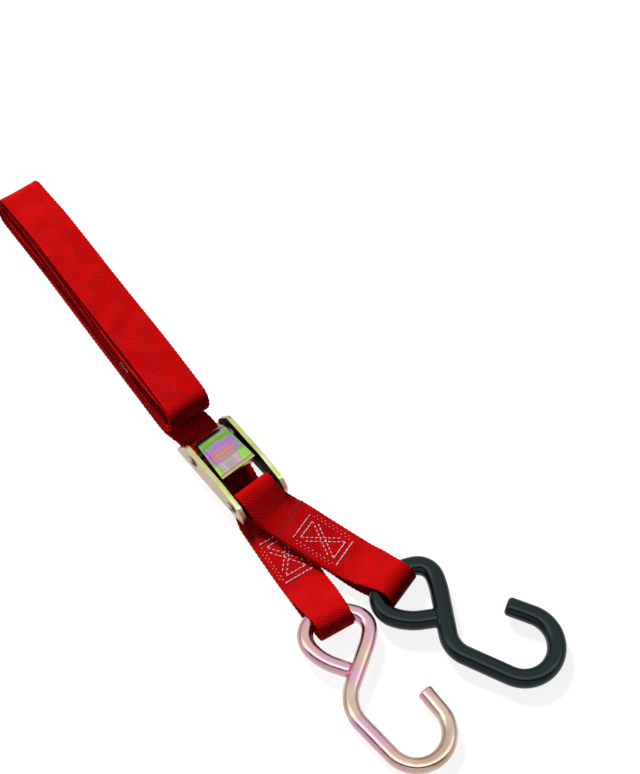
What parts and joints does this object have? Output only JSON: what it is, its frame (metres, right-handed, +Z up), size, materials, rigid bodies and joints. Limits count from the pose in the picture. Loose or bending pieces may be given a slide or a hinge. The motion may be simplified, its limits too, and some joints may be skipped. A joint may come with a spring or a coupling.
{
  "type": "cam buckle tie-down",
  "caption": "Webbing tie-down strap with a spring cam buckle, a short fixed strap and a coiled long strap, each ending in an S hook.",
  "frame": {"origin": "on the underside of the buckle's base plate, midway across its front edge", "axes": "+X along the buckle towards the hooks, +Y to the left of that, +Z up off the surface it lies on"},
  "size_m": [0.425, 0.1196, 0.0205],
  "materials": {
    "buckle_plating": "yellow zinc plate",
    "pin_plating": "yellow zinc plate",
    "lever_plating": "iridescent zinc plate",
    "spring_steel": "drawn wire",
    "webbing": "ribbed woven polyester",
    "thread": "twisted thread",
    "hook_plating": "iridescent zinc plate",
    "hook_steel": "bare steel",
    "vinyl": "dipped vinyl"
  },
  "bodies": {
    "buckle": {"buckle_frame": "buckle_plating", "cam_pin": "pin_plating", "anchor_pin": "pin_plating"},
    "lever": {"cam_lever": "lever_plating", "cam_spring": "spring_steel"},
    "fixed_strap": {"anchor_strap": "webbing", "anchor_strap_stitching": "thread"},
    "adjusting_strap": {"long_strap": "webbing", "long_strap_stitching": "thread", "tail_stitching": "thread"},
    "open_hook": {"plated_hook": "hook_plating"},
    "dipped_hook": {"coated_hook_core": "hook_steel", "coated_hook_coating": "vinyl"}
  },
  "joints": [
    {"name": "cam_lever_press", "type": "hinge", "parent": "buckle", "child": "lever", "pos_m": [-0.016, 0, 0.0132], "axis": [0, 1, 0], "range_deg": [0, 25], "stiffness_Nm_per_rad": 0.35, "springref_deg": -28.65},
    {"name": "fixed_strap_swing", "type": "hinge", "parent": "buckle", "child": "fixed_strap", "pos_m": [0.0185, 0, 0.0108], "axis": [0, -1, 0], "range_deg": [0, 80]},
    {"name": "strap_pull", "type": "slide", "parent": "buckle", "child": "adjusting_strap", "axis": [1, 0, 0], "range_m": [-0.003, 0]},
    {"name": "plated_hook_swing", "type": "hinge", "parent": "adjusting_strap", "child": "open_hook", "pos_m": [0.09945, -0.01208, 0.0073], "axis": [-0.3584, -0.9336, 0], "range_deg": [0, 35]},
    {"name": "coated_hook_swing", "type": "hinge", "parent": "fixed_strap", "child": "dipped_hook", "pos_m": [0.10466, 0.02662, 0.00795], "axis": [0.1305, -0.9914, 0], "range_deg": [0, 35]}
  ]
}
